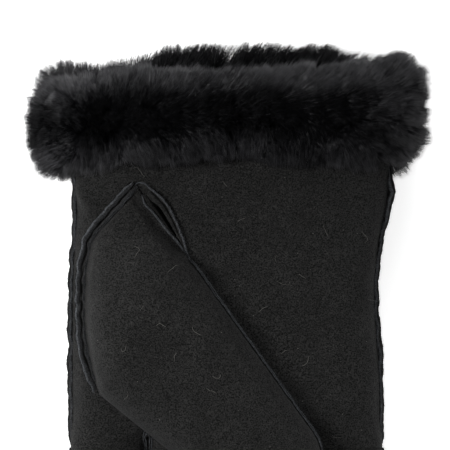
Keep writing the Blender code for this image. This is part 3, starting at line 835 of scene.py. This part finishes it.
def fuzz_mesh(name, lips, per_mm, seed):
    """Loose fibres along the cut edges of a seam's lips."""
    rng = np.random.default_rng(seed)
    place, stand = (np.concatenate([crest[k] for _, _, crest in lips]) for k in (0, 1))
    count = int(len(place) * COURSE_STEP * per_mm)
    pick = rng.integers(0, len(place), count)
    root = place[pick] + rng.normal(size=(count, 3)) * 0.28
    root[:, 2] = np.maximum(root[:, 2], 1.1)
    way = unit(stand[pick] + rng.normal(size=(count, 3)) * 0.75)
    bend = unit(way + rng.normal(size=(count, 3)) * 0.7)
    places = grow(root, way, bend, rng.uniform(0.35, 1.0, count))
    radius = rng.uniform(0.022, 0.038, count)
    return strand_mesh(name, places, radius, np.zeros(count, int), (FUZZ,))


def lips_mesh(name, lips):
    verts, quads, tris = join_parts([part for part, _, _ in lips])
    slots = np.concatenate([slots for _, slots, _ in lips] + [np.zeros(len(tris), int)])
    return mesh_object(name, verts, quads, tris, (SUEDE, RAW_EDGE, HEM), slots)


def seam_piece(name, courses, attach, nodes, gap=0.2, lean=0.38, widths=(1.25, 1.25), fuzz=5.0):
    """The lips, stitches and fuzz of paired seams. widths are the lips' thicknesses."""
    lips, stitches = [], []
    for n, rows in enumerate(courses):
        for hand, thickness in zip((-1, 1), widths):
            faces = WIDE_LIP_FACES[hand] if gap > 0 else LIP_FACES
            lips.append(make_lip(rows, hand * (gap + thickness) / 2, lean, thickness,
                                 31 + 13 * n + 5 * hand, faces))
            stitches += make_stitches(rows, hand * (gap / 2 + thickness + 0.25))
    attach(lips_mesh(f"{name}_edges", lips), "suede")
    attach(mesh_object(f"{name}_stitches", *join_parts(stitches), (THREAD,)), "thread", *nodes)
    attach(fuzz_mesh(f"{name}_fuzz", lips, fuzz, 300 + len(name)), "suede")


def hand_side_seam(side):
    ys = np.arange(WRIST_END - 3, FINGER_SPLIT_Y - 0.01, -0.6)
    t = finger_share(ys)
    x = mix(hand_half_width(ys, np.full(len(ys), side)), HALF_WIDTH, t)
    z = mix(hand_middle(ys)[0], FINGER_HALF_HEIGHT, t)
    path = np.stack([side * (x - 0.1), ys, z], axis=1)
    path[:, 0] += 0.3 * ripple(path, 11, 71)
    return course(path, (side, 0.0, 0.55), 0.8 + 0.22 * ripple(path, 26, 72))


def finger_seams(finger):
    """Seams down a finger's front and back; the outer side of an end finger has only one."""
    seams = []
    for face, side in ((1, -1), (1, 1), (-1, -1), (-1, 1)):
        inner = finger > 0 if side < 0 else finger < 3
        if inner or face > 0:
            edge = (pi if side < 0 else 0.0, side * face * FOURCHETTE_ANGLE * inner)
            path = finger_skin(finger, edge, edge, 1)[0][2:, 0]
            up = path - (FINGER_X[finger], 0.0, FINGER_HALF_HEIGHT)
            up[:, 1] = np.minimum(path[:, 1] - (FINGER_TIP_Y[finger] + TIP_HALF_WIDTH), 0)
            up = unit(up) + UP * (1.6 * face * inner)
            seams.append(course(path, unit(up), 1.1 if inner else 0.9))
    return seams


def make_seams():
    for side, label in ((-1, "thumb"), (1, "little")):
        seam_piece(f"side_seam_{label}", [hand_side_seam(side)], ride_hand,
                   [f"hand_thread_{label}_side"], gap=0.08)
    for finger, name in enumerate(FINGERS):
        nodes = [f"{name}_seam_thread"] if finger in (0, 3) else []
        seam_piece(f"{name}_seam", finger_seams(finger), partial(blend_finger, finger), nodes,
                   gap=0.0, widths=(0.62, 0.62), lean=0.1, fuzz=2.0)
    make_thumb_seam()
    make_slit()


def make_thumb_seam():
    """The raised seam up the thumb's heel, and the finer one round its tip and right edge."""
    left, right, _, free = thumb_sections()
    reach = free < -0.004
    flat = np.column_stack([unit(left - right), np.zeros(len(left))])
    up = unit(mix(UP, flat, 0.5 * ease(free, -0.1, 0.1)[:, None]))
    height = 0.08 + 0.64 * ease(-free, 0.0, 0.17)
    height = height * mix(0.35, 1.0, ease(free, -1.0, -0.93))
    path = np.column_stack([left, thumb_seam_height(*left.T, free, 1.0)])
    path += flat * 0.5 * ripple(path, 6, 97)[:, None]
    seam_piece("thumb_heel_seam", [course(path[reach], up[reach], height[reach])], blend_thumb,
               ["thumb_seam_thread"], gap=0.35, lean=0.16, widths=(1.5, 2.0), fuzz=7.0)

    tip, back = free >= 0.7, np.flatnonzero(free >= 0)[::-1]
    edge = np.concatenate([left[tip], right[back]])
    z = thumb_seam_height(*edge.T, np.concatenate([free[tip], free[back]]), 0.0)
    out = np.concatenate([(left - right)[tip], (right - left)[back]])
    up = np.column_stack([unit(out), np.full(len(edge), 0.65)])
    height = 0.15 + 0.45 * ease(np.arange(len(edge)), 0, 14)
    seam_piece("thumb_edge_seam", [course(np.column_stack([edge, z]), up, height)], blend_thumb, [],
               gap=0.0, lean=0.1, widths=(0.6, 0.6), fuzz=10.0)


# --- the slit at the top of the thumb

# Places across the slit, from its left lip to its right, and how high each lies in mm.
SLIT_PLACES = np.array((0.0, 0.08, 0.20, 0.30, 0.37, 0.39, 0.43, 0.47, 0.49, 0.55, 0.64, 0.74,
                        0.82, 0.86, 0.87))
SLIT_HEIGHTS = np.array((-0.5, 0.35, 0.3, -0.1, -1.2, -3.6, -3.9, -3.6, -1.1, 0.0, 0.45, 0.6, 0.45,
                         0.0, -0.6))
SLIT_GAP = 0.43
SLIT_FLOOR = -4.8


def slit_sides(count):
    """Places along the slit's left and right edges, from its top."""
    return [spaced(smooth_path(line, 0.4)[::-1], count) for line in (SLIT_LEFT, SLIT_RIGHT)]


def make_slit():
    left, right = slit_sides(60)
    t = np.linspace(0, 1, len(left))[:, None]
    opened = ease(t, 0.10, 0.30) * (1 - ease(t, 0.70, 0.92))
    wall = np.abs(SLIT_PLACES - SLIT_GAP) < 0.1
    squeezed = SLIT_GAP + (SLIT_PLACES - SLIT_GAP) * (0.3 + 2.2 * opened)
    across = np.where(wall, squeezed, SLIT_PLACES)[..., None]
    height = np.where(SLIT_HEIGHTS < -1, SLIT_HEIGHTS * (0.1 + 0.9 * opened), SLIT_HEIGHTS)
    ground = on_palm(left[:, None] + (right - left)[:, None] * across)
    rise = height * ease(t, 0, 0.08) + 0.15 * ripple(ground, 5, 84)
    top, floor = ((ground + UP * z).reshape(-1, 3) for z in (rise[..., None], SLIT_FLOOR))
    quads = facing(top, grid_quads(*ground.shape[:2]), UP)
    ride_hand(shell("slit_bands", top, floor, quads, (SUEDE,)), "suede", "thumb_opening_thread")

    end = OUTSEAM[-1]
    over = smooth_path([*SLIT_RIGHT, mix(SLIT_RIGHT[-1], end, 0.3) + (-0.2, 1.0),
                        mix(SLIT_RIGHT[-1], end, 0.75) + (-0.2, 0.9), end], 0.6)
    fade = 1 - 0.55 * ease(np.linspace(0, 1, len(over)), 0.72, 0.86)
    lips = []
    for path, height, lean, seed in ((over, 0.75 * fade, 0.35, 91), (left, 0.55, -0.15, 95)):
        lips.append(make_lip(course(on_palm(path, 0.1), UP, height), 0.0, lean, 0.9, seed))
    ride_hand(lips_mesh("slit_edges", lips), "suede")
    ride_hand(fuzz_mesh("slit_fuzz", lips, 7.0, 96), "suede")


# --- lint


LINT_RADIUS = 0.07


def surface_follow(points, surface):
    """Lifts flat points onto a surface of scattered ones, by their nearest few."""
    tree = tree_of(surface * (1, 1, 0))
    z = []
    for x, y in points:
        near = tree.find_n(Vector((x, y, 0.0)), 4)
        weight = np.array([1 / (d + 0.05) for _, _, d in near])
        z.append((surface[[k for _, k, _ in near], 2] * weight).sum() / weight.sum())
    return np.column_stack([points, z])


def make_lint(name, surface, count, speck_count, seed, attach):
    """Curled fibres and specks that have settled on a surface."""
    rng = np.random.default_rng(seed)
    parts = []
    for place in surface[rng.integers(0, len(surface), count)]:
        steps = rng.integers(9, 22)
        turn = rng.uniform(0, 2 * pi) + np.cumsum(rng.normal(rng.normal() * 0.07, 0.22, steps))
        walk = np.cumsum(np.column_stack([np.cos(turn), np.sin(turn)]), axis=0) * 0.32
        path = surface_follow(place[:2] + walk, surface)
        path[:, 2] += 0.16 + 0.25 * np.abs(np.sin(np.linspace(0, 3, steps) + rng.uniform(0, 3)))
        along = unit(np.gradient(path, axis=0))
        side = unit(np.cross(along, UP))
        size = rng.uniform(0.5, 1.0) * np.sin(np.linspace(0.25, 2.9, steps)) ** 0.4
        parts.append(sweep(path, side, np.cross(side, along), RING * LINT_RADIUS, size))
    for place in surface[rng.integers(0, len(surface), speck_count)]:
        size = rng.uniform(0.08, 0.17)
        turn = rng.uniform(0, 2 * pi)
        way = np.array((cos(turn), sin(turn), 0.0))
        path = place + np.array((0, 0, 0.16)) + way * (np.linspace(-1, 1, 4) * size)[:, None]
        side = (-way[1], way[0], 0.0)
        parts.append(sweep(path, side, UP, RING * size, (0.5, 1.0, 0.9, 0.4)))
    attach(mesh_object(name, *join_parts(parts), (LINT,)), "suede")


# --- fur

STRANDS_PER_PIECE = 12000
RING_CELLS, TURN_CELLS = 240, 60
FUR_CENTRE_LOW = 75.0  # where the fur's lower edge crosses the middle of the palm


def fur_outline(u, face):
    """Upper and lower ends of the fur's bed at u, from -1 to 1 across the cuff."""
    if face > 0:
        top = FUR_TOP - 9.0 - 2.5 * ease(-u, 0.5, 1.0) + 4.0 * ease(u, 0.2, 0.8)
        top = top + 0.8 * np.sin(7 * u)
        low = FUR_CENTRE_LOW + 7.5 - 6.5 * u * u + 0.7 * np.sin(9 * u + 1)
        low = low + 4.5 * ease(u, 0.8, 1.0)
    else:
        top = FUR_BACK_HIGH[1] - 4.4
        top = top - 7.5 * ease(-u, 0.3, 0.9) - 5.0 * ease(u, 0.6, 1.0)
        low = FUR_BACK_LOW[1] + 8.0
    return top, low


def fur_bed(ring, turn, face):
    """The fur's bed. ring goes round the wrist's half, turn round the roll."""
    c, s = power_point(ring, PALM_POWER)
    top, low = fur_outline(c, face)
    rise = np.sin(turn)
    y = (top + low) / 2 + (top - low) / 2 * np.cos(turn)
    deep_side = np.where(rise > 0, 5.0, 8.0)
    deep_face = np.where(rise > 0, 5.0 if face > 0 else 2.5, 8.0)
    x = (BAND_HIGH[0] + rise * deep_side) * c
    z = CUFF_CENTRE + face * (CUFF_HALF_HEIGHT + BAND_SKIN + rise * deep_face) * s
    return np.stack([x, y, z], axis=-1)


def fur_roots(count, face, rng, turn_low, turn_high):
    """Roots spread evenly over the bed, with each one's normal and turn."""
    ring = np.linspace(0.0, pi, RING_CELLS + 1)
    turn = np.linspace(turn_low, turn_high, TURN_CELLS + 1)
    a, b = np.meshgrid((ring[1:] + ring[:-1]) / 2, (turn[1:] + turn[:-1]) / 2, indexing="ij")
    a, b = a.ravel(), b.ravel()
    step = 1e-3

    def slopes(a, b):
        p = fur_bed(a, b, face)
        return p, np.cross((fur_bed(a + step, b, face) - p) / step,
                           (fur_bed(a, b + step, face) - p) / step)

    area = np.linalg.norm(slopes(a, b)[1], axis=1)
    if face < 0:
        area = area * mix(1.0, 0.35, ease(np.sin(a), 0.5, 0.9) * (np.sin(b) > 0.5))
    area = np.minimum(area, np.percentile(area, 98))
    cell = rng.choice(len(a), size=count, p=area / area.sum())
    a = a[cell] + (rng.random(count) - 0.5) * pi / RING_CELLS
    b = b[cell] + (rng.random(count) - 0.5) * (turn_high - turn_low) / TURN_CELLS
    p, normal = slopes(np.clip(a, 1e-3, pi - 2e-3), b)
    normal = unit(normal)
    away = (p - UP * CUFF_CENTRE) * (1, 0, 1)
    flip = np.sign((normal * away).sum(axis=1) * np.sign(np.sin(b) + 1e-9))
    return p, normal * np.where(flip == 0, 1, flip)[:, None], b


def grow(root, start, tip_way, length):
    """Four rows of places along strands that turn from one way to another."""
    places = [root]
    for k in range(3):
        way = unit(mix(start, tip_way, (k + 0.5) / 3))
        places.append(places[-1] + way * (length / 3)[:, None])
    return places


def strand_mesh(name, places, width, tones, materials):
    """Strands through four rows of places, thinning to a point."""
    count = len(places[0])
    along = unit(places[3] - places[0])
    helper = np.where(np.abs(along[:, 2:]) < 0.9, UP, np.array((1.0, 0, 0)))
    side = unit(np.cross(along, helper))
    top = np.cross(side, along)
    verts = np.zeros((count, 10, 3))
    for ring, thin in enumerate((1.0, 0.85, 0.55)):
        for corner in range(3):
            turn = 2 * pi * corner / 3
            out = side * cos(turn) + top * sin(turn)
            verts[:, ring * 3 + corner] = places[ring] + out * (width * thin)[:, None]
    verts[:, 9] = places[3]
    quads = [(r + k, r + n, r + 3 + n, r + 3 + k)
             for r in (0, 3) for k, n in ((0, 1), (1, 2), (2, 0))]
    tris = [(6, 7, 9), (7, 8, 9), (8, 6, 9), (0, 2, 1)]
    base = (np.arange(count) * 10)[:, None, None]
    quads = (np.array(quads)[None] + base).reshape(-1, 4)
    tris = (np.array(tris)[None] + base).reshape(-1, 3)
    root_tone = np.maximum(tones - 1, 0)
    quad_tone = np.stack([root_tone] * 3 + [tones] * 3, axis=1).ravel()
    tri_tone = np.stack([tones] * 3 + [root_tone], axis=1).ravel()
    return mesh_object(name, verts.reshape(-1, 3), quads, tris, materials,
                       np.concatenate([quad_tone, tri_tone]))


# How far sideways the fur has been brushed, above and below the roll's crest.
COMB_X = (-78, -62, -50, -38, -20, 0, 20, 45, 62, 78)
COMB_ABOVE = (-1.1, -0.7, 0.15, 0.3, 0.5, 0.95, 1.15, 1.15, 1.2, 1.4)
COMB_BELOW = (-1.2, -0.8, -0.1, 0.6, 0.45, 0.15, 0.1, 0.3, 0.9, 1.4)


def comb(points, turn):
    """The way the fur has been brushed: away from the roll's crest, and sideways."""
    above = np.interp(points[:, 0], COMB_X, COMB_ABOVE)
    below = np.interp(points[:, 0], COMB_X, COMB_BELOW)
    sideways = mix(below, above, ease(np.cos(turn), -0.5, 0.5))
    sideways = sideways + 0.25 * ripple(points, 24, 41) + 0.30 * ripple(points, 4.5, 45)
    lengthways = 0.95 * np.cos(turn) + 0.22 * ripple(points, 19, 42) + 0.26 * ripple(points, 4, 47)
    lift = 0.12 * ripple(points, 13, 43) + 0.16 * ripple(points, 3.5, 49)
    return np.stack([sideways, lengthways, lift], axis=1)


def fur_tone_and_painted_light(points, turn, rng, face):
    """Each strand's tone: painted shade darkest along the crest and painted sheen lighter towards
    the roll's edges, with tone that differs at random over it.
    """
    across = np.cos(turn)
    # painted sheen on the roll's upper band, stronger to the right, and on its lower band
    upper = (3.1 + 0.7 * ease(points[:, 0], 5, 45)) * ease(across, 0.25, 0.75)
    lower = (2.35 - 1.3 * bump(points[:, 0], 28, 15)) * ease(-across, 0.30, 0.72)
    # painted light on the roll's right end
    ends = (2.8 + 1.3 * ripple(points, 9, 53)) * ease(points[:, 0], 40, 64)
    # painted shade on the roll's left end
    value = np.maximum(upper + lower, ends) - 0.6 * ease(-points[:, 0], 52, 72)
    # tone that differs at random
    value += 0.60 * ripple(points, 16, 51) + 0.50 * ripple(points, 4.5, 52) - 0.25
    value += rng.normal(size=len(points)) * 0.9
    if face < 0:
        # painted shade over the back half, darkest on its upper side, with a painted light patch at
        # its upper left
        value = value * mix(0.55, 0.15, ease(across, -0.2, 0.4))
        value += 2.0 * ease(-points[:, 0], 28, 48) * ease(across, 0.0, 0.5)
    return np.clip(np.round(value), 0, len(FUR_TONES) - 1).astype(int)


def clumped(root, places, rng, spacing, pull):
    """Draws neighbouring strands together into locks."""
    count = max(int(len(root) / spacing), 1)
    heads = rng.choice(len(root), size=count, replace=False)
    tree = tree_of(root[heads])
    nearest = np.array([heads[tree.find(Vector(p))[1]] for p in root])
    for row, share in ((1, 0.10), (2, 0.38), (3, 0.72)):
        goal = places[row][nearest] + (root - root[nearest]) * (1 - share) * 0.6
        amount = (pull * share)[:, None]
        places[row] = mix(places[row], goal, amount)
    return places


def clear_of_hand(points, face):
    """Keeps strands off the hide below them, and off the table."""
    x, y, z = points.T
    if face > 0:
        over = (np.abs(x) < hand_half_width(y, x)) & (y < MOUTH_Y - 8)
        z = np.where(over, np.maximum(z, hand_top(x, y) + 1.5), z)
    return np.column_stack([x, y, np.maximum(z, 0.25)])


def make_fur(name, face, count, seed, past):
    """Half the cuff's strands. past is how far they reach round the roll's lower edge."""
    rng = np.random.default_rng(seed)
    root, normal, turn = fur_roots(count, face, rng, -0.75, pi + past)
    brushed = comb(root, turn)
    guard = rng.random(count) < 0.22
    stray = rng.normal(size=root.shape) * np.where(guard, 0.24, 0.12)[:, None]
    start = unit(normal + 0.40 * brushed + stray)
    tip_way = unit(0.42 * normal + 1.0 * brushed + 1.5 * stray)
    ragged = ease(root[:, 0], 50, 66)
    length = 8.9 + 0.8 * ripple(root, 15, 44) + (1.3 + 1.2 * ragged) * ripple(root, 4.5, 48)
    length += rng.normal(size=count) * 0.5 + guard * rng.uniform(0.0, 2.2, count) ** 1.6
    length += 2.2 * ragged * ease(np.cos(turn), 0.2, 0.7)
    length *= mix(1.0, 0.72, ease(-np.sin(turn), 0.0, 0.7))
    radius = np.where(guard, 0.105, 0.068) * rng.uniform(0.8, 1.2, count)
    places = grow(root, start, tip_way, length)
    places = clumped(root, places, rng, 34, rng.uniform(0.15, 0.8, count))
    places = clumped(root, places, rng, 260, rng.uniform(0.25, 0.75 if face > 0 else 0.4, count))
    places = [clear_of_hand(p, face) for p in places]
    tones = fur_tone_and_painted_light(root, turn, rng, face)
    tones = np.minimum(tones + (guard & (tones > 0)), len(FUR_TONES) - 1)
    order = np.argsort(root[:, 0] + rng.normal(size=count) * 2.0)
    pieces = int(ceil(count / STRANDS_PER_PIECE))
    for k, members in enumerate(np.array_split(order, pieces)):
        piece = strand_mesh(f"cuff_{name}_strands_{k + 1}", [p[members] for p in places],
                            radius[members], tones[members], FUR_TONES)
        ride_hand(piece, "fur", *([f"cuff_fur_{name}"] if k == 0 else []))


def make_fur_bed(name, face):
    """The hide under the fur: a closed roll round half the wrist."""
    a, b = np.meshgrid(np.linspace(0.0, pi, 121), np.linspace(-0.6, pi + 0.5, 36),
                       indexing="ij")
    grid = fur_bed(a, b, face)
    grid[..., 2] = np.maximum(grid[..., 2], 0.4)
    bed = thick_grid(f"cuff_bed_{name}", grid, (0, 0, face), HIDE, (FUR_BED,))
    ride_hand(bed, "fur", f"cuff_band_{name}")


def make_cuff():
    make_fur_bed("palm", 1)
    make_fur_bed("back", -1)
    make_fur("palm", 1, 105000, 101, 0.35)
    make_fur("back", -1, 58000, 102, 0.2)


# --- stage

LENS = 200.0
SENSOR = 36.0
VIEW_WIDTH = 171.0  # width of the view at the palm's height
FLOOR_HALF = 9000.0


def make_stage():
    corners = FLOOR_HALF * np.array([(-1, -1, 0), (1, -1, 0), (1, 1, 0), (-1, 1, 0)])
    paper = principled("paper", (0.85, 0.85, 0.85), 0.9, 0.2)
    set_inputs(paper.node_tree.nodes["Principled BSDF"], Emission_Color=(1.0, 1.0, 1.0, 1.0),
               Emission_Strength=0.72)
    mesh_object("floor", corners - UP * 0.05, np.array([[0, 1, 2, 3]]), NO_TRIS, (paper,))


def add_light(name, place, target, size, power):
    data = bpy.data.lights.new(name, "AREA")
    data.shape = "DISK"
    data.size = size
    data.energy = power
    light = add_object(name, data)
    light.location = place
    aim = Vector(target) - Vector(place)
    light.rotation_euler = aim.to_track_quat("-Z", "Y").to_euler()


def make_light():
    """White surroundings, dimmer overhead, and two soft lights."""
    world = bpy.data.worlds.new("studio")
    world.use_nodes = True
    tree = world.node_tree
    way = add_node(tree, "ShaderNodeTexCoord").outputs["Generated"]
    rise = add_node(tree, "ShaderNodeSeparateXYZ", (0, way)).outputs["Z"]
    dim = add_node(tree, "ShaderNodeMapRange", ("Value", rise), From_Min=0.15, From_Max=0.6,
                   To_Min=1.0, To_Max=0.27)
    background = set_inputs(tree.nodes["Background"], Color=(1, 1, 1, 1))
    tree.links.new(dim.outputs["Result"], background.inputs["Strength"])
    bpy.context.scene.world = world
    add_light("key", (-1.05, 0.10, 0.80), (0, 0.02, 0), 0.42, 17.5)
    add_light("rim", (0.15, 1.25, 0.55), (0, 0.08, 0), 0.6, 9.0)


def make_camera():
    data = bpy.data.cameras.new("camera")
    data.lens = LENS
    data.sensor_width = SENSOR
    data.clip_start = 0.01
    camera = add_object("camera", data)
    height = VIEW_WIDTH * LENS / SENSOR
    centre_y = (MOUTH_Y + WRIST_END) / 2 - 40.8
    camera.location = Vector((-0.6, centre_y, 2 * HALF_HEIGHT + height)) * MM
    bpy.context.scene.camera = camera
    bpy.context.scene.view_settings.view_transform = "Standard"


make_stage()
make_light()
make_camera()
make_hand()
for number in range(4):
    make_finger(number)
make_thumb()
make_seams()
make_cuff()
